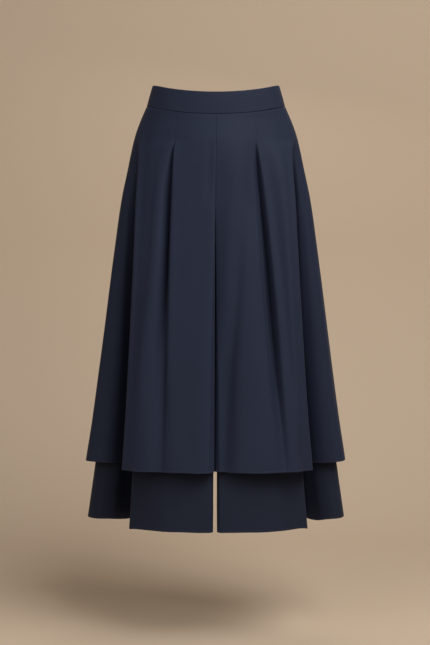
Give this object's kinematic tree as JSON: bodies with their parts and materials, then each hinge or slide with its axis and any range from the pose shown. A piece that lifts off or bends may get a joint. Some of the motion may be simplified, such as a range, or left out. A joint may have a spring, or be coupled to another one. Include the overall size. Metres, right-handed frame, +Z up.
{
  "type": "culottes",
  "caption": "Navy double-layer culottes in their worn, hollow shape: contoured waistband, front inverted pleats, deep side folds and a longer under layer.",
  "frame": {"origin": "centre of the waist ring, at half the waistband's height at the side seams", "axes": "+Z up, the front faces -Y, the wearer's left leg is at +X"},
  "size_m": [0.5184, 0.3542, 0.8591],
  "materials": {
    "outer_cloth": "matt navy crepe",
    "under_cloth": "matt navy crepe",
    "waistband_cloth": "matt navy crepe, interfaced",
    "zip_tape": "woven zip tape",
    "zip_metal": "navy lacquer"
  },
  "bodies": {
    "garment": {"waistband_front": "waistband_cloth", "waistband_back_right": "waistband_cloth", "waistband_back_left": "waistband_cloth", "outer_front_right": "outer_cloth", "outer_front_left": "outer_cloth", "outer_back_right": "outer_cloth", "outer_back_left": "outer_cloth", "under_front_right": "under_cloth", "under_front_left": "under_cloth", "under_back_right": "under_cloth", "under_back_left": "under_cloth", "zip_tape": "zip_tape", "zip_slider": "zip_metal"},
    "pull_tab": {"zip_pull": "zip_metal"}
  },
  "joints": [
    {"name": "pull_swing", "type": "hinge", "parent": "garment", "child": "pull_tab", "pos_m": [0, 0.08974, 0.0114], "axis": [1, 0, 0], "range_deg": [-2, 165]}
  ]
}
